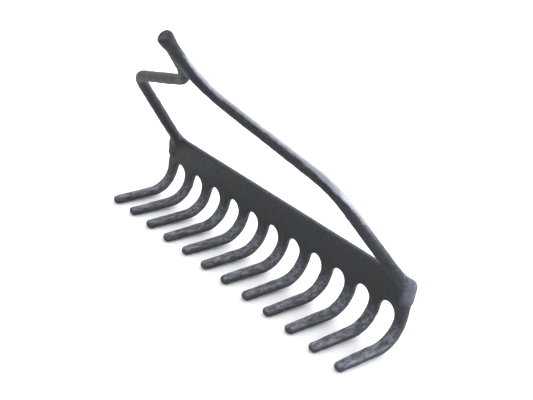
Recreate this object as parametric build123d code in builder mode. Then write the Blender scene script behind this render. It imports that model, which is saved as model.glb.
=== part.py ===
from build123d import *
import os
from math import atan, cos, degrees, radians, sin

os.makedirs("parts", exist_ok=True)

# Sizes in millimetres. X runs along the toothed bar, the handle side is -Y, and Z is up.
# The head stands on the flat undersides of its tines, with the middle of its box over the origin.
tine_count = 12
tine_pitch = 28.0
tine_root_width = 10.8
tine_tip_width = 8.4
tine_tip_thickness = 6.8
tine_drop = 9.5
tine_bend_radius = 23.0
tine_reach = 65.0
tip_rounding = 2.2

bar_height = 26.0
bar_thickness = 7.2
bar_corner_radius = 9.0
edge_rounding = 2.4

knuckle_diameter = 13.4
knuckle_height = 23.0
knuckle_crown = 0.5
knuckle_rounding = 5.5

bow_angle = 48.4
arm_root_diameter = 12.0
arm_root_length = 14.0
arm_diameter = 9.7
arm_corner_diameter = 9.0
arm_neck_diameter = 7.8
arm_root_half_width = 149.0
arm_root_depth = 6.0
corner_half_width = 124.0
corner_distance = 110.0
corner_radius = 20.0
merge_half_width = 8.0
merge_distance = 160.0
merge_radius = 20.0

neck_length = 54.0
neck_wedge_start = 6.0
neck_wedge_width = 9.0
neck_wedge_thickness = 3.5
neck_wedge_length = 22.0
neck_width = 12.4
neck_thickness = 9.0
collar_diameter = 13.0
collar_land = 8.0
collar_flare = 6.0
collar_rounding = 0.8

# Places worked out from the sizes above.
bar_length = tine_count * tine_pitch - (tine_pitch - tine_root_width)
slot_radius = (tine_pitch - tine_root_width) / 2
tine_lean = degrees(atan((bar_thickness - tine_tip_thickness) / 2 / (tine_reach - tine_bend_radius)))
bend_sweep = 90.0 - tine_lean
tine_straight = (tine_reach - tine_bend_radius) / cos(radians(tine_lean))
path_foot = bar_thickness / 2 + tine_bend_radius
slot_top = path_foot + tine_drop
bar_top = slot_top + bar_height
knuckle_half_width = (tine_count - 1) / 2 * tine_pitch
knuckle_top = bar_top + knuckle_crown
neck_end = merge_distance + neck_length
collar_start = neck_end - collar_land - collar_flare
wedge_start = merge_distance + neck_wedge_start
wedge_end = wedge_start + neck_wedge_length

bow_run = cos(radians(bow_angle))
bow_rise = sin(radians(bow_angle))
collar_front = (neck_end - collar_rounding) * bow_run
collar_front += (collar_diameter / 2 - collar_rounding) * bow_rise + collar_rounding
bar_setback = (collar_front - knuckle_diameter / 2) / 2

bar_plane = Plane(origin=(0, bar_setback, 0), x_dir=(1, 0, 0), z_dir=(0, -1, 0))
tine_plane = Plane(origin=(0, bar_setback, 0), x_dir=(0, -1, 0), z_dir=(-1, 0, 0))
bow_start = (0, bar_setback, bar_top - arm_root_depth)
bow_plane = Plane(origin=bow_start, x_dir=(1, 0, 0), z_dir=(0, -bow_rise, -bow_run))
neck_plane = Plane(origin=bow_start, x_dir=(1, 0, 0), z_dir=(0, -bow_run, bow_rise))
neck_line = Axis(origin=neck_plane.origin, direction=neck_plane.z_dir)


def square_to(path, share):
    """The plane square to a tine's path at a share of its length, with its x direction along the bar."""
    return Plane(origin=path @ share, x_dir=(1, 0, 0), z_dir=path % share)


# The bar is a flat plate. Its lower edge is cut into round-topped slots, which leave a root for each tine.
with BuildPart() as bar:
    with BuildSketch(bar_plane):
        with Locations((0, (slot_top - slot_radius + bar_top) / 2)):
            outline = Rectangle(bar_length, bar_height + slot_radius)
        fillet(outline.vertices().group_by(Axis.Y)[-1], radius=bar_corner_radius)
        with Locations((0, slot_top - slot_radius)):
            with GridLocations(tine_pitch, 0, tine_count - 1, 1):
                Circle(slot_radius, mode=Mode.SUBTRACT)
    extrude(amount=bar_thickness / 2, both=True)
    rims = bar.faces().filter_by(Axis.Y).edges()
    root_level = bar.edges().group_by(Axis.Z)[0]
    fillet([rim for rim in rims if rim not in root_level], radius=edge_rounding)

# A tine hangs from its root, bends forwards and runs level to a blunt, rounded tip.
with BuildPart() as tine:
    with BuildLine(tine_plane) as tine_path:
        drop = Line((0, slot_top - slot_radius), (0, path_foot))
        bend = JernArc(start=drop @ 1, tangent=drop % 1, radius=tine_bend_radius, arc_size=bend_sweep)
        reach = Line(bend @ 1, bend @ 1 + bend % 1 * tine_straight)
    with BuildSketch(square_to(drop, 0)):
        RectangleRounded(tine_root_width, bar_thickness, edge_rounding)
    sweep(path=[drop, bend])
    with BuildSketch(square_to(reach, 0)):
        RectangleRounded(tine_root_width, bar_thickness, edge_rounding)
    with BuildSketch(square_to(reach, 1)):
        RectangleRounded(tine_tip_width, tine_tip_thickness, edge_rounding)
    loft(ruled=True)
    tip = tine.faces().sort_by(Axis.Y)[0]
    fillet(tip.edges(), radius=tip_rounding)

# The end of the bar is upset into an upright knuckle with domed ends, which carries the arm of the bow.
with BuildPart() as knuckle:
    with BuildSketch(Plane.XY.offset(knuckle_top - knuckle_height)):
        with Locations((knuckle_half_width, bar_setback)):
            Circle(knuckle_diameter / 2)
    extrude(amount=knuckle_height)
    fillet(knuckle.edges(), radius=knuckle_rounding)

# Half of the bow is a round arm. Its straight stretches taper, and its two bends keep their thickness.
with BuildPart() as arm:
    with BuildLine(bow_plane) as arm_path:
        FilletPolyline(
            (arm_root_half_width, 0),
            (corner_half_width, corner_distance),
            (merge_half_width, merge_distance),
            (neck_width / 2 - arm_neck_diameter / 2, collar_start),
            radius=(corner_radius, merge_radius),
        )
    route = arm_path.wires()[0]
    stretches = arm_path.edges().sort_by(route)
    diameters = (arm_diameter, arm_corner_diameter, arm_corner_diameter, arm_neck_diameter, arm_neck_diameter)
    for stretch, near_diameter, far_diameter in zip(stretches, diameters, diameters[1:] + diameters[-1:]):
        with BuildSketch(Plane(origin=stretch @ 0, z_dir=stretch % 0)):
            Circle(near_diameter / 2)
        if stretch.geom_type == GeomType.LINE:
            with BuildSketch(Plane(origin=stretch @ 1, z_dir=stretch % 1)):
                Circle(far_diameter / 2)
            loft()
        else:
            sweep(path=stretch)
    for height, diameter in ((0, arm_root_diameter), (arm_root_length, arm_diameter)):
        with BuildSketch(Plane(origin=route @ 0, z_dir=route % 0).offset(height)):
            Circle(diameter / 2)
    loft()

# The neck grows as a wedge in the fork of the arms, swallows both and flares to a round collar.
with BuildPart() as neck:
    for distance, width, thickness in (
        (wedge_start, neck_wedge_width, neck_wedge_thickness),
        (wedge_end, neck_width, neck_thickness),
        (collar_start, neck_width, neck_thickness),
    ):
        with BuildSketch(neck_plane.offset(distance)):
            Ellipse(width / 2, thickness / 2)
    loft(ruled=True)
    with BuildSketch(neck_plane.offset(collar_start)):
        Ellipse(neck_width / 2, neck_thickness / 2)
    with BuildSketch(neck_plane.offset(neck_end - collar_land)) as collar_ring:
        Circle(collar_diameter / 2)
    loft()
    extrude(collar_ring.sketch, amount=collar_land)
    end_face = neck.faces().sort_by(neck_line)[-1]
    fillet(end_face.edges(), radius=collar_rounding)

# The whole head is forged in one piece.
with BuildPart() as rake_head:
    add(bar.part)
    with GridLocations(tine_pitch, 0, tine_count, 1):
        add(tine.part)
    add([knuckle.part, mirror(knuckle.part, about=Plane.YZ, mode=Mode.PRIVATE)])
    add([arm.part, mirror(arm.part, about=Plane.YZ, mode=Mode.PRIVATE)])
    add(neck.part)

rake_head.part.label = "rake_head"
export_step(rake_head.part, "parts/rake_head.step")
print(rake_head.part.bounding_box(), rake_head.part.volume, len(rake_head.part.solids()))
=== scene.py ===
# %% [markdown]
# # A forged bow rake head
# This lesson dresses a garden rake head. Twelve tines hang from a slotted bar, and a bow of two arms
# carries the bar and closes in a short neck for the handle. The smith makes all of it from one steel.
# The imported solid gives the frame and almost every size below. Where the dressed head differs from the
# solid, the text says so.

# %% Load the frame
from math import cos, radians, sin

import bmesh
import bpy
from mathutils import Matrix, Vector


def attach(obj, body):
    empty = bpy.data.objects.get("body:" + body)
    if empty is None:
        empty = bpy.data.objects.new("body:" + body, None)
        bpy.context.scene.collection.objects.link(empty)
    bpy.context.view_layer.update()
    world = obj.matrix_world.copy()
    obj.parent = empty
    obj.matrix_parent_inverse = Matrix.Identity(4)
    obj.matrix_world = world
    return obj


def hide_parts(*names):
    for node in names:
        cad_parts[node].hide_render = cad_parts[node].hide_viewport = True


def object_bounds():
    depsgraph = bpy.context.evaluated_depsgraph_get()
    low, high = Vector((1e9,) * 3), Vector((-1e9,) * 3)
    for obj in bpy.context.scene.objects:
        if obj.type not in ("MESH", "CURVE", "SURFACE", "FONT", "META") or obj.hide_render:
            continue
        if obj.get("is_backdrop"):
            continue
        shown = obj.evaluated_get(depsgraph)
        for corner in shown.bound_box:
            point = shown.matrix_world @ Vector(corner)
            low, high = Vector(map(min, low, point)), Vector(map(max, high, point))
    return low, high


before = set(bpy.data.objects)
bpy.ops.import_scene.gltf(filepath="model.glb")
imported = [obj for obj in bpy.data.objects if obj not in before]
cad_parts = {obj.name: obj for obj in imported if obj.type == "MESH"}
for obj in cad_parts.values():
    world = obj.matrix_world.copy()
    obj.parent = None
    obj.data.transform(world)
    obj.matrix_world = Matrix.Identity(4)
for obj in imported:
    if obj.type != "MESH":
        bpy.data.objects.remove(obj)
cad_low, cad_high = (list(corner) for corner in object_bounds())
cad_size = [round(1000 * (high - low), 1) for low, high in zip(cad_low, cad_high)]
print("nodes:", list(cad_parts), "size in mm:", cad_size)

# %% [markdown]
# ## Sockets that can do sums
# Both the shapes and the finish are node trees. A tree is easier to read when a sum looks like a sum, so
# a wire stands for one socket, and adding or multiplying wires adds the Math nodes.
# A board is a tree with one method that adds any node: first its settings, then its sockets. Its other
# methods are short names for the nodes that are used most.

# %% A wire and a board
class Wire:
    """One output socket. Sums with wires or numbers add Math nodes to its board."""

    def __init__(self, board, socket):
        self.board, self.socket = board, socket

    def __getitem__(self, name):
        return Wire(self.board, pick(self.socket.node.outputs, name))

    def __add__(self, other):
        return self.board.math("ADD", self, other)

    def __sub__(self, other):
        return self.board.math("SUBTRACT", self, other)

    def __rsub__(self, other):
        return self.board.math("SUBTRACT", other, self)

    def __mul__(self, other):
        return self.board.math("MULTIPLY", self, other)

    def __truediv__(self, other):
        return self.board.math("DIVIDE", self, other)

    def __rtruediv__(self, other):
        return self.board.math("DIVIDE", other, self)

    __radd__ = __add__
    __rmul__ = __mul__


def pick(sockets, name):
    """The socket at an index, or the first one in use with that name."""
    if isinstance(name, int):
        return sockets[name]
    return next(socket for socket in sockets if socket.enabled and socket.name == name)


class Board:
    """A node tree, the one method that adds a node to it, and short names for common nodes."""

    def __init__(self, tree):
        self.tree = tree

    def node(self, kind, settings=None, values=None):
        """Adds a node and gives a wire for its first output. A list of wires feeds one socket."""
        node = self.tree.nodes.new(kind)
        for name, value in (settings or {}).items():
            setattr(node, name, value)
        for name, value in (values or {}).items():
            socket = pick(node.inputs, name)
            for wire in value if isinstance(value, list) else [value]:
                if isinstance(wire, Wire):
                    self.tree.links.new(wire.socket, socket)
                else:
                    socket.default_value = wire
        used = [socket for socket in node.outputs if socket.enabled]
        return Wire(self, used[0]) if used else None

    def math(self, operation, *values):
        """A Math node on wires or numbers."""
        return self.node("ShaderNodeMath", {"operation": operation}, dict(enumerate(values)))

    def vector(self, operation, *values):
        """A Vector Math node on wires or vectors."""
        return self.node("ShaderNodeVectorMath", {"operation": operation}, dict(enumerate(values)))

    def point(self, x=0.0, y=0.0, z=0.0):
        """One vector from three wires or numbers."""
        return self.node("ShaderNodeCombineXYZ", {}, {"X": x, "Y": y, "Z": z})

    def axes(self, vector):
        """Three wires, for the x, y and z of a vector."""
        parts = self.node("ShaderNodeSeparateXYZ", {}, {"Vector": vector})
        return parts["X"], parts["Y"], parts["Z"]

    def share(self, value, start, end):
        """0 where the value is below start, 1 above end, and a straight line between."""
        return self.node("ShaderNodeMapRange", {}, {"Value": value, "From Min": start, "From Max": end})

    def ramp(self, value, start, end):
        """0 where the value is below start, 1 above end, and a smooth step between."""
        limits = {"Value": value, "From Min": start, "From Max": end}
        return self.node("ShaderNodeMapRange", {"interpolation_type": "SMOOTHSTEP"}, limits)


print("a board adds any node, and its wires add, subtract, multiply and divide")

# %% [markdown]
# ## Objects, routes and plain meshes
# A mesh, a curve or a lamp shows only when an object in the scene holds it. Modifiers change how an object
# looks, and its plain mesh is what they leave when they have run.
# A route is a curve of straight runs through a few corners. It is the centre line of a rod before the
# corners are rounded, so a few numbers describe a whole arm of the bow.

# %% Make objects, meshes and routes
MM = 0.001


def new_object(name, data):
    """An object in the scene that holds a mesh, a curve, a lamp or a camera."""
    item = bpy.data.objects.new(name, data)
    bpy.context.scene.collection.objects.link(item)
    return item


def plain_mesh(host):
    """The mesh of an object after its modifiers have run."""
    evaluated = host.evaluated_get(bpy.context.evaluated_depsgraph_get())
    return bpy.data.meshes.new_from_object(evaluated)


def route(name, corners):
    """A curve object of straight runs through the corners."""
    curve = bpy.data.curves.new(name, "CURVE")
    curve.dimensions = "3D"
    spline = curve.splines.new("POLY")
    spline.points.add(len(corners) - 1)
    for point, corner in zip(spline.points, corners):
        point.co = (*corner, 1)
    return new_object(name, curve)


print("one millimetre is", MM, "of Blender's metres")

# %% [markdown]
# ## A tree that grows a piece
# A geometry tree rounds a route's corners and sweeps a section along it. The tree's sizes are inputs with
# names, so the same tree could grow a wider or longer piece. The result is turned into a plain mesh, and
# the route goes, together with its modifier.

# %% Start, end and grow a tree
SOCKET_KINDS = {int: "NodeSocketInt", float: "NodeSocketFloat"}


def start_tree(name, sizes):
    """A board for a new geometry tree, and a wire for the node that gives the tree's inputs."""
    tree = bpy.data.node_groups.new(name, "GeometryNodeTree")
    tree.interface.new_socket("Geometry", in_out="INPUT", socket_type="NodeSocketGeometry")
    for label, value in sizes.items():
        kind = SOCKET_KINDS.get(type(value), "NodeSocketMaterial")
        tree.interface.new_socket(label, in_out="INPUT", socket_type=kind)
    tree.interface.new_socket("Geometry", in_out="OUTPUT", socket_type="NodeSocketGeometry")
    board = Board(tree)
    return board, board.node("NodeGroupInput")


def end_tree(board, given, geometry):
    """Every tree ends alike: instances become real and take the steel."""
    real = board.node("GeometryNodeRealizeInstances", {}, {"Geometry": geometry})
    made = board.node("GeometryNodeSetMaterial", {}, {"Geometry": real, "Material": given["Steel"]})
    board.node("NodeGroupOutput", {}, {"Geometry": made})


def grow(name, host, board, sizes):
    """Runs a tree on a host object and returns the result as a plain mesh object."""
    modifier = host.modifiers.new(name, "NODES")
    modifier.node_group = board.tree
    for item in board.tree.interface.items_tree:
        if item.in_out == "INPUT" and item.name in sizes:
            modifier[item.identifier] = sizes[item.name]
    mesh = plain_mesh(host)
    bpy.data.objects.remove(host)
    print(name, "has", len(mesh.vertices), "points")
    return new_object(name, mesh)


steel = bpy.data.materials.new("forged_steel_dark")
print("trees are ready, and all pieces share", steel.name)

# %% [markdown]
# ## Sections along a route
# The rods of the head are round, the tines and the neck are flatter, and some ends are domed. A sweep can
# only scale its section evenly, so it takes the thickness. Every flat piece has its route in the plane
# x = 0, so its width follows after the sweep by stretching x.
# Near an end the section steps in along a quarter circle, which rounds the end.

# %% Round corners, round ends and flat sections
def rounded(board, curve, radius, points):
    """A curve with each of its corners rounded by a number of points."""
    values = {"Curve": curve, "Radius": radius, "Count": points}
    return board.node("GeometryNodeFilletCurve", {"mode": "POLY"}, values)


def along(board, path, step):
    """Points at an even step along a path, with the distances from its start and to its end."""
    path = board.node("GeometryNodeResampleCurve", {"mode": "LENGTH"}, {"Curve": path, "Length": step})
    start = board.node("GeometryNodeSplineParameter")["Length"]
    return path, start, board.node("GeometryNodeSplineLength")["Length"] - start


def step_in(board, distance, radius):
    """How far the skin steps in at a distance from an end that is rounded with that radius."""
    left = 1 - board.share(distance, 0, radius)
    return radius * (1 - board.math("SQRT", 1 - left * left))


def ring(board, sides):
    """A round section that is one unit across."""
    return board.node("GeometryNodeCurvePrimitiveCircle", {}, {"Resolution": sides, "Radius": 0.5})


def sweep(board, path, section, thickness, width=None):
    """Sweeps a section of unit thickness and width. A width needs a route in the plane x = 0."""
    if width:
        values = {"Geometry": path, "Name": "stretch", "Value": width / thickness}
        path = board.node("GeometryNodeStoreNamedAttribute", {}, values)
    values = {"Curve": path, "Profile Curve": section, "Scale": thickness, "Fill Caps": True}
    skin = board.node("GeometryNodeCurveToMesh", {}, values)
    if not width:
        return skin
    stretch = board.node("GeometryNodeInputNamedAttribute", {}, {"Name": "stretch"})
    sides = board.point(stretch, 1.0, 1.0)
    wide = board.vector("MULTIPLY", board.node("GeometryNodeInputPosition"), sides)
    return board.node("GeometryNodeSetPosition", {}, {"Geometry": skin, "Position": wide})


def with_twin(board, part):
    """A part and its mirror image. Mirroring turns faces inside out, so the twin's are flipped."""
    twin = board.node("GeometryNodeTransform", {}, {"Geometry": part, "Scale": (-1, 1, 1)})
    twin = board.node("GeometryNodeFlipFaces", {}, {"Mesh": twin})
    return board.node("GeometryNodeJoinGeometry", {}, {"Geometry": [part, twin]})


print("a swept section can taper, flatten and close in a dome")

# %% [markdown]
# ## The tines
# The smith draws each tine out of the bar, bends it forwards over a form and leaves its tip blunt. The
# route of a tine starts a little inside the bar, drops, turns one corner and runs to the tip. The slots
# between the tines follow from the same sizes, so bar and tines can't come apart.
# The solid's tines lie flat. Here they rise a little from their tips to the bend, as in the photograph.

# %% Lay out the tines
tine_count, tine_pitch = 12, 28.0 * MM
root_width, tip_width = 10.8 * MM, 8.4 * MM
bar_thickness, tip_thickness = 7.2 * MM, 6.8 * MM
tine_drop, bend_radius, tine_reach = 9.5 * MM, 23.0 * MM, 65.0 * MM
tine_rise, root_overlap = 3.0 * MM, 3.0 * MM
tip_rounding, edge_rounding = 2.2 * MM, 2.4 * MM
bar_setback = 69.956 * MM

slot_radius = (tine_pitch - root_width) / 2
slot_top = bar_thickness / 2 + bend_radius + tine_drop
slot_foot = slot_top - slot_radius
taper_length = tine_reach - bend_radius
corner_level = tip_thickness / 2 + tine_reach * (bar_thickness - tip_thickness) / 2 / taper_length
tine_corners = [
    (0, 0, slot_foot + root_overlap),
    (0, 0, corner_level + tine_rise),
    (0, -tine_reach, tip_thickness / 2),
]
print(tine_count, "tines, with slots of", round(2 * slot_radius / MM, 1), "mm between them")

# %% [markdown]
# ## One tine
# Round the bend a tine keeps its section. From there it gets narrower and a little thinner, up to a blunt
# tip with rounded edges. A box with subdivisions would do too, but a sweep keeps the section square to
# the bend, and its taper and its rounding are exact lengths.

# %% Sweep one tine
tine_sizes = {
    "Count": tine_count, "Pitch": tine_pitch, "Root Width": root_width, "Tip Width": tip_width,
    "Thickness": bar_thickness, "Tip Thickness": tip_thickness, "Bend Radius": bend_radius,
    "Taper Length": taper_length, "Edge Rounding": edge_rounding, "Tip Rounding": tip_rounding,
    "Setback": bar_setback, "Sway": radians(0.5), "Shortest": 0.992, "Longest": 1.006, "Seed": 12,
    "Steel": steel,
}
board, given = start_tree("tine_row", tine_sizes)
bent = rounded(board, given["Geometry"], given["Bend Radius"], points=16)
bent, _, to_tip = along(board, bent, step=0.8 * MM)
taper = 1 - board.share(to_tip, 0, given["Taper Length"])
rounding = 2 * step_in(board, to_tip, given["Tip Rounding"])
width = given["Root Width"] + (given["Tip Width"] - given["Root Width"]) * taper - rounding
thickness = given["Thickness"] + (given["Tip Thickness"] - given["Thickness"]) * taper - rounding
square = board.node("GeometryNodeCurvePrimitiveQuadrilateral", {}, {"Width": 1.0, "Height": 1.0})
section = rounded(board, square, given["Edge Rounding"] / given["Thickness"], points=5)
tine = sweep(board, bent, section, thickness, width)
print("one tine reaches", round(tine_reach / MM), "mm forwards from the middle of the bar")

# %% [markdown]
# ## The row
# All twelve tines are alike but for small errors of the hand. So one tine is set on a row of points, and
# each copy turns and stretches a little, from a fixed seed. Twelve loose models would be harder to change.

# %% Set the tine on a row of points
first = board.point((given["Count"] - 1) * given["Pitch"] * -0.5, given["Setback"])
row = board.node("GeometryNodeMeshLine", {}, {
    "Count": given["Count"], "Start Location": first, "Offset": board.point(given["Pitch"])})
sway = board.node("FunctionNodeRandomValue", {}, {
    "Min": given["Sway"] * -1, "Max": given["Sway"], "Seed": given["Seed"]})
reach = board.node("FunctionNodeRandomValue", {}, {
    "Min": given["Shortest"], "Max": given["Longest"], "Seed": given["Seed"] + 1})
tines = board.node("GeometryNodeInstanceOnPoints", {}, {
    "Points": row, "Instance": tine, "Rotation": board.point(z=sway),
    "Scale": board.point(1.0, reach, 1.0)})
end_tree(board, given, tines)
tine_row = grow("tine_row", route("tine_route", tine_corners), board, tine_sizes)

# %% [markdown]
# ## The plane of the bow
# The bow leans from the top of the bar towards the handle. Its points are easiest to give in its own
# plane, by how far they lie from the middle and how far up the bow. One function turns such a pair into a
# place in the scene. An arm starts at its root, the elbow is its corner, and at the merge it comes to its
# twin. Elbow and merge lie 1.5 mm further up than the solid's, which is closer to the photograph.

# %% Lay out the bow
bar_height = 26.0 * MM
bar_top = slot_top + bar_height
bow_lean = radians(48.4)
arm_root_depth = 6.0 * MM


def on_bow(side, distance):
    """A point in the plane of the bow, at a distance up from the arms' roots."""
    rise = bar_top - arm_root_depth + distance * sin(bow_lean)
    return Vector((side, bar_setback - distance * cos(bow_lean), rise))


arm_root = on_bow(149.0 * MM, 0)
elbow = on_bow(124.0 * MM, 111.5 * MM)
merge = on_bow(8.0 * MM, 161.5 * MM)
print("the elbow lies at", [round(number / MM) for number in elbow], "mm")

# %% [markdown]
# ## The arms of the bow
# Each arm is a round rod. It leaves the end of the bar thick, thins out, turns inwards at the elbow and
# turns again, in a wider bend, to run up beside its twin. The tree rounds the corners of the route, sweeps
# a circle whose diameter changes along the way, and mirrors the arm. A bevelled curve would need a radius
# set by hand at every point.
# Both bends are wider than the solid's, and the arm thins a little less.

# %% Grow the arms
neck_width, neck_thickness = 12.4 * MM, 9.0 * MM
collar_start = 200.0 * MM
arm_sizes = {
    "Root Diameter": 12.0 * MM, "Diameter": 9.7 * MM, "Corner Diameter": 9.3 * MM,
    "Neck Diameter": 8.2 * MM, "Corner Radius": 32.0 * MM, "Merge Radius": 44.0 * MM,
    "Flare Length": 14.0 * MM, "Corner At": 105.0 * MM, "Merge At": 235.0 * MM, "Steel": steel,
}
arm_end = on_bow((neck_width - arm_sizes["Neck Diameter"]) / 2, collar_start)
arm_corners = [arm_root, elbow, merge, arm_end]

board, given = start_tree("bow_arms", arm_sizes)
at_merge = board.math("COMPARE", board.node("GeometryNodeInputIndex"), arm_corners.index(merge), 0.5)
bend = given["Corner Radius"] + (given["Merge Radius"] - given["Corner Radius"]) * at_merge
bent = rounded(board, given["Geometry"], bend, points=20)
bent, from_root, _ = along(board, bent, step=1.2 * MM)
flared = 1 - board.ramp(from_root, 0, given["Flare Length"])
flare = (given["Root Diameter"] - given["Diameter"]) * flared
thin = (given["Corner Diameter"] - given["Diameter"]) * board.share(from_root, 0, given["Corner At"])
narrow = board.share(from_root, given["Corner At"], given["Merge At"])
narrow = (given["Neck Diameter"] - given["Corner Diameter"]) * narrow
arm = sweep(board, bent, ring(board, sides=28), given["Diameter"] + flare + thin + narrow)
end_tree(board, given, with_twin(board, arm))
bow_arms = grow("bow_arms", route("arm_route", arm_corners), board, arm_sizes)

# %% [markdown]
# ## The knuckles
# The ends of the bar are upset, which means hammered thick, into upright knuckles that carry the arms.
# A knuckle is a short post with two domed ends, so the same sweep makes it, with the step at both ends.

# %% Grow the knuckles
knuckle_sizes = {"Diameter": 13.4 * MM, "Rounding": 5.5 * MM, "Steel": steel}
knuckle_x = (tine_count - 1) / 2 * tine_pitch
knuckle_crown, knuckle_height = 0.5 * MM, 23.0 * MM
knuckle_top = bar_top + knuckle_crown
knuckle_foot = knuckle_top - knuckle_height
knuckle_ends = [(knuckle_x, bar_setback, knuckle_foot), (knuckle_x, bar_setback, knuckle_top)]

board, given = start_tree("knuckles", knuckle_sizes)
post, from_foot, to_top = along(board, given["Geometry"], step=0.5 * MM)
nearest = board.math("MINIMUM", from_foot, to_top)
diameter = given["Diameter"] - 2 * step_in(board, nearest, given["Rounding"])
knuckle = sweep(board, post, ring(board, sides=32), diameter)
end_tree(board, given, with_twin(board, knuckle))
knuckles = grow("knuckles", route("knuckle_route", knuckle_ends), board, knuckle_sizes)

# %% [markdown]
# ## The neck
# A wedge of metal fills the fork between the arms. It swallows both and flares into a round collar, where
# the photograph ends. The wedge starts 3 mm higher than the solid's and is 3 mm wider there, and the
# collar is about a millimetre slimmer and flares over a longer stretch.
# Width and thickness grow apart here, so the neck uses the flat section again.

# %% Grow the neck
neck_sizes = {
    "Wedge Width": 12.0 * MM, "Wedge Thickness": 3.5 * MM, "Wedge Length": 22.0 * MM,
    "Width": neck_width, "Thickness": neck_thickness, "Collar Diameter": 11.9 * MM,
    "Collar Land": 3.0 * MM, "Collar Flare": 11.0 * MM, "End Rounding": 0.8 * MM, "Steel": steel,
}
wedge_start, neck_end = 169.0 * MM, 214.0 * MM
neck_ends = [on_bow(0, wedge_start), on_bow(0, neck_end)]

board, given = start_tree("neck", neck_sizes)
neck_path, from_fork, to_end = along(board, given["Geometry"], step=0.5 * MM)
swell = board.share(from_fork, 0, given["Wedge Length"])
collar = 1 - board.ramp(to_end, given["Collar Land"], given["Collar Land"] + given["Collar Flare"])
rounding = 2 * step_in(board, to_end, given["End Rounding"])
width = given["Wedge Width"] + (given["Width"] - given["Wedge Width"]) * swell
width = width + (given["Collar Diameter"] - given["Width"]) * collar - rounding
thickness = given["Wedge Thickness"] + (given["Thickness"] - given["Wedge Thickness"]) * swell
thickness = thickness + (given["Collar Diameter"] - given["Thickness"]) * collar - rounding
end_tree(board, given, sweep(board, neck_path, ring(board, sides=36), thickness, width))
neck = grow("neck", route("neck_route", neck_ends), board, neck_sizes)

# %% [markdown]
# ## The bar
# The bar is a plate whose lower edge is punched into round-topped slots. What is left between the slots
# becomes the tines. Its outline is drawn once as a closed row of points, filled, given its thickness and
# bevelled, because a flat shape with many equal bites is quickest as an outline.

# %% Draw the outline of the bar
bar_corner_radius = 9.0 * MM


def arc(centre_x, centre_z, radius, start, end, steps):
    """Points on an arc in the plane of the bar, from one angle to another in degrees."""
    angles = [radians(start + (end - start) * step / steps) for step in range(steps + 1)]
    return [(centre_x + radius * cos(angle), centre_z + radius * sin(angle)) for angle in angles]


def slotted_outline():
    """The bar's outline: up the right end, along the top, down the left end and back over the slots."""
    half = (tine_count * tine_pitch - 2 * slot_radius) / 2
    corner_x, corner_z = half - bar_corner_radius, bar_top - bar_corner_radius
    outline = [(half, slot_foot)] + arc(corner_x, corner_z, bar_corner_radius, 0, 90, steps=8)
    outline += arc(-corner_x, corner_z, bar_corner_radius, 90, 180, steps=8) + [(-half, slot_foot)]
    for slot in range(tine_count - 1):
        slot_x = (slot - (tine_count - 2) / 2) * tine_pitch
        outline += arc(slot_x, slot_foot, slot_radius, 180, 0, steps=20)
    return outline


print("the outline of the bar has", len(slotted_outline()), "points")

# %% [markdown]
# ## From outline to plate
# The outline is filled and pushed back by the bar's thickness. The rims of both faces are rounded, as
# forging leaves them, but not where the tines go on downwards.

# %% Thicken the bar and round its rims
tolerance = 0.01 * MM


def is_rim(edge):
    """Whether an edge lies in the front or the back face and isn't at the foot of a tine's root."""
    start, end = (corner.co for corner in edge.verts)
    return abs(start.y - end.y) < tolerance and max(start.z, end.z) > slot_foot + tolerance


def build_bar():
    """The slotted bar as a mesh object."""
    work = bmesh.new()
    front = bar_setback - bar_thickness / 2
    face = work.faces.new([work.verts.new((x, front, z)) for x, z in slotted_outline()])
    grown = bmesh.ops.extrude_face_region(work, geom=[face])
    moved = [item for item in grown["geom"] if isinstance(item, bmesh.types.BMVert)]
    bmesh.ops.translate(work, verts=moved, vec=(0, bar_thickness, 0))
    rims = [edge for edge in work.edges if is_rim(edge)]
    bmesh.ops.bevel(work, geom=rims, offset=edge_rounding, segments=4, profile=0.5, affect="EDGES")
    bmesh.ops.triangulate(work, faces=work.faces)
    bmesh.ops.recalc_face_normals(work, faces=work.faces)
    mesh = bpy.data.meshes.new("bar")
    work.to_mesh(mesh)
    work.free()
    return new_object("bar", mesh)


bar = build_bar()
print("the bar has", len(bar.data.polygons), "faces")

# %% [markdown]
# ## One piece of steel
# The parts overlap, as clay parts would. A voxel remesh turns them into one even skin without inner walls,
# which the next tree can move. A boolean would leave long thin faces that shade badly.

# %% Join and remesh
def joined(name, pieces):
    """One mesh object of all the pieces' faces. The pieces themselves are removed."""
    work = bmesh.new()
    for piece in pieces:
        work.from_mesh(piece.data)
        bpy.data.objects.remove(piece)
    mesh = bpy.data.meshes.new(name)
    work.to_mesh(mesh)
    work.free()
    return new_object(name, mesh)


blank = joined("blank", [tine_row, bow_arms, knuckles, neck, bar])
remesh = blank.modifiers.new("one_skin", "REMESH")
remesh.mode = "VOXEL"
remesh.voxel_size = 1.0 * MM
skin = plain_mesh(blank)
blank.modifiers.remove(remesh)
blank.data = skin
print("one skin of", len(skin.polygons), "faces")

# %% [markdown]
# ## Masks
# The smith works some places harder than others, and they look different too. A mask is a value between 0
# and 1 that says where something happens. These come from plain distances, so they fit the skin's tree as
# well as the finish. For the joints the left side is folded onto the right, so each joint is given once.
# A vertex group could be painted instead, but it would be lost with the mesh it was painted on.

# %% Masks for joints and bar
knuckle_joint = Vector((151.0 * MM, bar_setback - 2 * MM, bar_top))
fork_joint = on_bow(5.0 * MM, 166.0 * MM)


def close_to(board, place, spot, inner, outer):
    """1 within the inner distance of a spot, 0 beyond the outer one, and a smooth step between."""
    distance = board.vector("DISTANCE", place, tuple(spot))["Value"]
    return 1 - board.ramp(distance, inner, outer)


def at_joints(board, place, inner, outer):
    """The same mask for the knuckles' joints and the fork of the bow, on both sides."""
    x, y, z = board.axes(place)
    folded = board.point(board.math("ABSOLUTE", x), y, z)
    masks = [close_to(board, folded, joint, inner, outer) for joint in (knuckle_joint, fork_joint)]
    return board.math("MAXIMUM", *masks)


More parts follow.
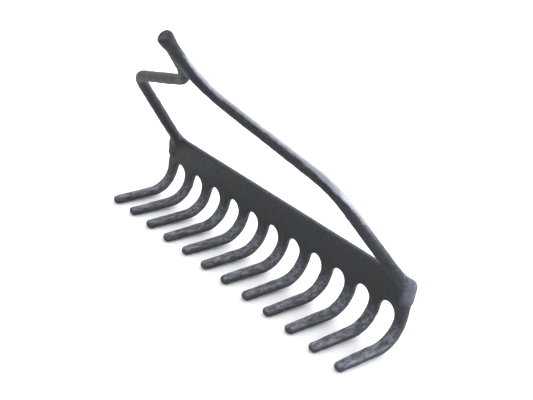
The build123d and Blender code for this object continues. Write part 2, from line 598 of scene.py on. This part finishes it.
def bar_mask(board, place, foot, front, top):
    """1 on the bar. Each pair, in mm, says where it fades: at the slots' tops, the middle or the top."""
    _, y, z = board.axes(place)
    above = board.ramp(z, slot_top + foot[0] * MM, slot_top + foot[1] * MM)
    behind = board.ramp(y, bar_setback + front[0] * MM, bar_setback + front[1] * MM)
    return above * behind * (1 - board.ramp(z, bar_top + top[0] * MM, bar_top + top[1] * MM))


print("the fork of the bow is at", [round(number / MM) for number in fork_joint], "mm")

# %% [markdown]
# ## Joints that flow together
# Under the hammer the joints flow into each other. The tree averages every point with its neighbours, a
# few times everywhere and many times near the joints, which fills the sharp corners between arm, knuckle
# and bar. A bevel would need clean edges, and a remeshed skin has none.

# %% Blend the joints
def averaged(board, geometry, place, passes, weight):
    """The geometry after each point has moved towards its neighbours, in a number of passes."""
    values = {"Value": place, "Iterations": passes, "Weight": weight}
    mean = board.node("GeometryNodeBlurAttribute", {"data_type": "FLOAT_VECTOR"}, values)
    return board.node("GeometryNodeSetPosition", {}, {"Geometry": geometry, "Position": mean})


skin_sizes = {
    "Blend Reach": 17.0 * MM, "Fullness": 0.05 * MM, "Bow Fullness": 0.35 * MM,
    "Joint Fullness": 0.7 * MM, "Swell Height": 0.6 * MM, "Dent Depth": 0.4 * MM,
    "Dents per Metre": 150.0, "Bar Share": 0.3, "Steel": steel,
}
board, given = start_tree("hammered_skin", skin_sizes)
place = board.node("GeometryNodeInputPosition")
flowed = at_joints(board, place, given["Blend Reach"] * 0.45, given["Blend Reach"])
head = averaged(board, given["Geometry"], place, passes=3, weight=0.7)
head = averaged(board, head, place, passes=11, weight=flowed)
print("the joints flow over", round(skin_sizes["Blend Reach"] / MM), "mm")

# %% [markdown]
# ## Hammer marks
# A forged skin is never even. Averaging thins a rod, so the skin is moved out again by a fullness, more on
# the bow and most at the joints. On top of that it rises and sinks by a slow swell and by shallow round
# dents, with less of both on the flat bar. They could be sculpted by hand, but noise gives the same marks
# on every run. Last, every point is kept inside the box of the solid.

# %% Hammer the skin
def noise(board, place, scale, detail=3.0, roughness=0.55, distortion=0.0):
    """Cloudy values between 0 and 1, with about so many clouds to the metre."""
    values = {"Vector": place, "Scale": scale, "Detail": detail}
    values |= {"Roughness": roughness, "Distortion": distortion}
    return board.node("ShaderNodeTexNoise", {}, values)


swell = noise(board, place, 70.0, detail=2.0, roughness=0.5)
dents = board.node("ShaderNodeTexVoronoi", {"feature": "SMOOTH_F1"}, {
    "Vector": place, "Scale": given["Dents per Metre"], "Smoothness": 0.6})
marks = given["Swell Height"] * (swell - 0.5) - given["Dent Depth"] * (0.55 - dents)
on_bar = bar_mask(board, place, foot=(-6, 0), front=(-6, -3), top=(0, 4))
marks = marks * (1 - on_bar * (1 - given["Bar Share"]))
on_arms = board.ramp(board.axes(place)[2], bar_top, bar_top + 14 * MM)
fullness = given["Fullness"] + on_arms * (given["Bow Fullness"] - given["Fullness"])
height = fullness + flowed * given["Joint Fullness"] + marks
outwards = board.node("ShaderNodeVectorMath", {"operation": "SCALE"}, {
    0: board.node("GeometryNodeInputNormal"), "Scale": height})
head = board.node("GeometryNodeSetPosition", {}, {"Geometry": head, "Offset": outwards})
kept = board.vector("MINIMUM", board.vector("MAXIMUM", place, tuple(cad_low)), tuple(cad_high))
head = board.node("GeometryNodeSetPosition", {}, {"Geometry": head, "Position": kept})
smooth = board.node("GeometryNodeSetShadeSmooth", {}, {"Geometry": head, "Shade Smooth": True})
end_tree(board, given, smooth)
rake = grow("forged_head", blank, board, skin_sizes)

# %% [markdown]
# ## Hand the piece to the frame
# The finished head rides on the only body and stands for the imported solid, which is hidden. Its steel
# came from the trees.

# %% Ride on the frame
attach(rake, "root")
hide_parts("rake_head")
print("triangles:", sum(len(face.vertices) - 2 for face in rake.data.polygons))

# %% [markdown]
# ## Where the steel differs
# One steel looks different from place to place, so the finish starts with masks: on the bar, on the bow,
# on upper sides, and several noises. They read the object's own coordinates and normals, so they stay put
# when the head turns. A painted image could do this too, but it would need an unwrapped mesh, and it would
# have one fixed sharpness. The mask of upper sides is used to paint light onto them.

# %% Lay the masks of the finish
steel.use_nodes = True
steel.node_tree.nodes.clear()
board = Board(steel.node_tree)
own = board.node("ShaderNodeTexCoord")
place, normal = own["Object"], own["Normal"]
x, _, z = board.axes(place)

on_bar = bar_mask(board, place, foot=(-12, 2), front=(-9, -3), top=(-1, 6))
on_bar = on_bar * (1 - board.ramp(board.math("ABSOLUTE", x), 144 * MM, 152 * MM) * 0.7)
on_arms = board.ramp(z, bar_top - 4 * MM, bar_top + 14 * MM)
# Painted light: this mask of upward faces puts more pale steel on the upper sides.
lit_upper_side = board.ramp(board.axes(normal)[2], -0.1, 0.95)
clouds = noise(board, place, 28.0)
patches = noise(board, place, 260.0, roughness=0.6, distortion=0.3)
grain = noise(board, place, 1100.0, detail=4.0, roughness=0.7)
drawn_out = board.vector("MULTIPLY", place, (1.0, 0.3, 1.0))
drawn_grain = noise(board, drawn_out, 420.0, roughness=0.5)
print("the masks take", len(steel.node_tree.nodes), "nodes")

# %% [markdown]
# ## Scale and bare steel
# Forge scale is a dark, dull oxide. It is tightest and plainest on the flat bar, and darkest on the bow.
# Where the hammer broke it, a finer grain of blue-grey steel shows through, drawn out along the tines,
# and brighter and smoother than scale. This pale steel is kept mostly to the upper sides, so it is partly
# worn steel and partly a painted highlight on the tops of the tines. The arms show less of it.
# A mix node blends two colours by a mask, so the finish is built up coat by coat, as paint would be.

# %% Mix scale and bare steel
def mix(board, mask, first, second):
    """Goes from the first colour to the second as the mask goes from 0 to 1."""
    return board.node("ShaderNodeMix", {"data_type": "RGBA"}, {"Factor": mask, "A": first, "B": second})


green_scale, brown_scale = (0.0205, 0.0260, 0.0280, 1), (0.0265, 0.0250, 0.0280, 1)
shaded_left_arm, lit_right_arm = (0.0078, 0.0108, 0.0122, 1), (0.0088, 0.0112, 0.0150, 1)
dim_steel, bright_steel = (0.094, 0.099, 0.118, 1), (0.205, 0.213, 0.246, 1)

scale = mix(board, board.ramp(clouds, 0.35, 0.65), green_scale, brown_scale)
# Painted light and shade: the left arm's scale is made darker as painted shade, and the right arm's bluer
# as painted light.
bow_scale_and_shade = mix(board, board.ramp(x, -20 * MM, 5 * MM), shaded_left_arm, lit_right_arm)
scale = mix(board, on_arms * 0.8, scale, bow_scale_and_shade)
bare_and_lit_top = board.ramp(drawn_grain * 0.55 + grain * 0.45, 0.22, 0.64)
# Pale bare steel, mostly on the upper sides: partly wear and partly painted light on the tops.
bare_and_lit_top = bare_and_lit_top * (1 - on_bar * 0.9) * (1 - on_arms * 0.66) * (0.12 + lit_upper_side * 0.88)
bare_steel = mix(board, board.ramp(drawn_grain, 0.30, 0.70), dim_steel, bright_steel)
colour = mix(board, bare_and_lit_top, scale, bare_steel)
print("scale on the bow is", round(green_scale[1] / lit_right_arm[1], 1), "times darker than on the bar")

# %% [markdown]
# ## Dark specks
# Small black specks of scale lie here and there, and more of them gather near the joints, which makes the
# joints darker. The highest values of a noise make them, so no speck is placed by hand.

# %% Scatter the specks
speck_black, speck_reach = (0.007, 0.007, 0.008, 1), 15 * MM
specks = board.ramp(noise(board, place, 420.0, detail=2.0), 0.60, 0.70)
gathered = at_joints(board, place, 6 * MM, speck_reach) * board.ramp(patches, 0.50, 0.60)
specks = board.math("MAXIMUM", specks, gathered * 0.9)
colour = mix(board, specks * 0.7, colour, speck_black)
print("specks gather within", round(speck_reach / MM), "mm of the joints")

# %% [markdown]
# ## A painted highlight on the bow
# The right arm of the bow carries a painted highlight: a pale stripe along its upper side, where the light
# behind the head reflects.
# The mask is a product of plain facts: well above the bar, below the collar, right of the middle, and
# facing up and a little to the right and the back. The left arm gets a quarter of the same painted
# highlight.
# Round the right elbow the stripe is wider. A stripe painted in an image could be placed more freely, but
# a fact such as "above the bar" stays true when a size changes.
# The outer side of the right knuckle is painted a paler blue-grey, a painted sheen of the light on that
# face.

# %% Paint the highlight on the right arm and the sheen on the knuckle
highlight_pale, knuckle_sheen = (0.300, 0.312, 0.345, 1), (0.14, 0.14, 0.20, 1)
up_and_right = (0.45, 0.20, 0.87)
highlight_start, highlight_full = bar_top + 25 * MM, bar_top + 75 * MM

above_bar = board.ramp(z, highlight_start, highlight_full)
right_side = 0.25 + board.ramp(x, -1 * MM, 3 * MM) * 0.75
below_collar = 1 - board.ramp(z, 196 * MM, 208 * MM)
highlight_facing = board.vector("DOT_PRODUCT", normal, up_and_right)["Value"]
highlight_facing = highlight_facing + close_to(board, place, elbow, 8 * MM, 34 * MM) * 0.22 + (patches - 0.5) * 0.3
# Painted highlight: a pale stripe on the right arm's upper side stands in for the light behind the head
# reflecting there.
painted_highlight = above_bar * right_side * below_collar * board.ramp(highlight_facing, 0.56, 0.88)
colour = mix(board, painted_highlight * (0.55 + clouds * 0.7), colour, highlight_pale)
# Painted light: the outer side of the right knuckle is painted paler and bluer, as if lit.
lit_knuckle_face = board.ramp(x, 153 * MM, 158 * MM) * board.ramp(z, 40 * MM, 50 * MM)
colour = mix(board, lit_knuckle_face * (0.2 + patches * 0.7), colour, knuckle_sheen)
print("the painted highlight starts", round(highlight_start / MM), "mm above the floor and is full at", round(highlight_full / MM))

# %% [markdown]
# ## Rust
# A little brown rust sits low on the outer side of the last tine on the right. It is a small spot
# with a broken rim, so a distance from its middle is roughened by noise before it becomes a mask.

# %% Add the rust
rust_brown = (0.080, 0.054, 0.038, 1)
rust_middle = (159.0 * MM, 29.0 * MM, 4.6 * MM)
rust_distance = board.vector("DISTANCE", place, rust_middle)["Value"]
rust_distance = rust_distance + (noise(board, place, 600.0) - 0.5) * (3 * MM)
rust = 1 - board.ramp(rust_distance, 0.8 * MM, 2.4 * MM)
colour = mix(board, rust, colour, rust_brown)
print("the rust sits", round(rust_middle[2] / MM, 1), "mm above the floor")

# %% [markdown]
# ## Dull and pitted
# Scale is dull, bare steel is smoother, and the stripe of painted highlight is smoothest. The grain is too
# fine for the mesh, so a Bump node tilts the light on it instead of moving points.

# %% Finish the surface
scale_roughness = 0.60
roughness = scale_roughness - bare_and_lit_top * 0.12 - painted_highlight * 0.18
roughness = roughness + (clouds - 0.5) * 0.1 + rust * 0.25 + specks * 0.1
pits = grain * 0.5 + patches * 0.5 - specks * 0.6
bump = board.node("ShaderNodeBump", {}, {"Height": pits, "Strength": 0.55, "Distance": 0.35 * MM})
surface = board.node("ShaderNodeBsdfPrincipled", {}, {
    "Base Color": colour, "Roughness": roughness, "Metallic": bare_and_lit_top * 0.35 + painted_highlight * 0.45,
    "Normal": bump, "Specular IOR Level": 0.28})
board.node("ShaderNodeOutputMaterial", {}, {"Surface": surface})
rake.data.materials.clear()
rake.data.materials.append(steel)
print("the finish has", len(steel.node_tree.nodes), "nodes")

# %% [markdown]
# ## A plain pale floor
# The photograph has no room in it, so the stage is a wide pale floor that fades into a pale world.

# %% Lay the floor
floor_material = bpy.data.materials.new("pale_floor")
floor_material.use_nodes = True
floor_shader = floor_material.node_tree.nodes["Principled BSDF"]
floor_shader.inputs["Base Color"].default_value = (0.97, 0.97, 0.97, 1)
floor_shader.inputs["Roughness"].default_value = 0.9
floor_mesh = bpy.data.meshes.new("floor")
reach = 12.0
floor_corners = [(-reach, -reach, 0), (reach, -reach, 0), (reach, reach, 0), (-reach, reach, 0)]
floor_mesh.from_pydata(floor_corners, [], [(0, 1, 2, 3)])
floor_mesh.materials.append(floor_material)
floor = new_object("floor", floor_mesh)
floor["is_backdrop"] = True
print("the floor is", 2 * reach, "m wide")

# %% [markdown]
# ## Soft light
# The upper side of the bow is pale, and the sides that face the camera are nearly black. So the main
# light is a soft panel above and behind the head, a weaker one stands behind it on its right, and the pale
# world fills in the rest.

# %% Hang the lights
def panel(name, place, aim, size, watts, colour):
    """A square soft light that looks from its place at a point."""
    light = bpy.data.lights.new(name, "AREA")
    light.size, light.energy, light.color = size, watts, colour
    lamp = new_object(name, light)
    lamp.location = place
    lamp.rotation_euler = (Vector(aim) - Vector(place)).to_track_quat("-Z", "Y").to_euler()


middle = (0, 0, 0.1)
panel("back_key", (-0.25, 1.17, 0.68), middle, size=1.8, watts=22, colour=(0.95, 0.95, 1.0))
panel("right_rim", (0.86, 0.77, 0.40), middle, size=0.5, watts=8, colour=(0.78, 0.78, 1.0))
world = bpy.data.worlds.new("pale_world")
world.use_nodes = True
background = world.node_tree.nodes["Background"]
background.inputs["Color"].default_value = (0.95, 0.95, 0.96, 1)
background.inputs["Strength"].default_value = 1.22
bpy.context.scene.world = world
bpy.context.scene.view_settings.view_transform = "Standard"
print("two panels and a pale world")

# %% [markdown]
# ## The camera
# The camera stands in front of the head on the handle's side, to its right and above. Its angles and
# distance were found by matching the solid's outline to the photograph, so they are plain numbers here.
# The lens and all lengths in the picture are in its pixels. The camera is turned to the middle of the bar
# and then moved across its own view, until that point lies where the photograph has it.

# %% Place the camera
def place_camera():
    """Makes the scene's camera from the matched angles, distance and picture point."""
    lens_pixels, frame_width, frame_height = 947.1, 533, 400
    azimuth, elevation, roll = radians(45.76), radians(24.196), radians(-9.585)
    seen_x, seen_y, distance = 274.77, 225.52, 833.89 * MM
    target = Vector((0, bar_setback, slot_top))
    back = Vector((sin(azimuth) * cos(elevation), -cos(azimuth) * cos(elevation), sin(elevation)))
    level = (-back).cross(Vector((0, 0, 1))).normalized()
    down = (-back).cross(level)
    right = level * cos(roll) + down * sin(roll)
    below = down * cos(roll) - level * sin(roll)
    shift = right * ((seen_x - frame_width / 2) / lens_pixels * distance)
    shift += below * ((seen_y - frame_height / 2) / lens_pixels * distance)
    data = bpy.data.cameras.new("camera")
    data.sensor_fit, data.sensor_width = "HORIZONTAL", 36
    data.lens = lens_pixels * data.sensor_width / frame_width
    data.clip_start, data.clip_end = 0.01, 100
    camera = new_object("camera", data)
    turn = Matrix((right, -below, back)).transposed()
    camera.matrix_world = Matrix.Translation(target + back * distance - shift) @ turn.to_4x4()
    bpy.context.scene.camera = camera
    print("the camera stands at", [round(number, 3) for number in camera.location])


place_camera()
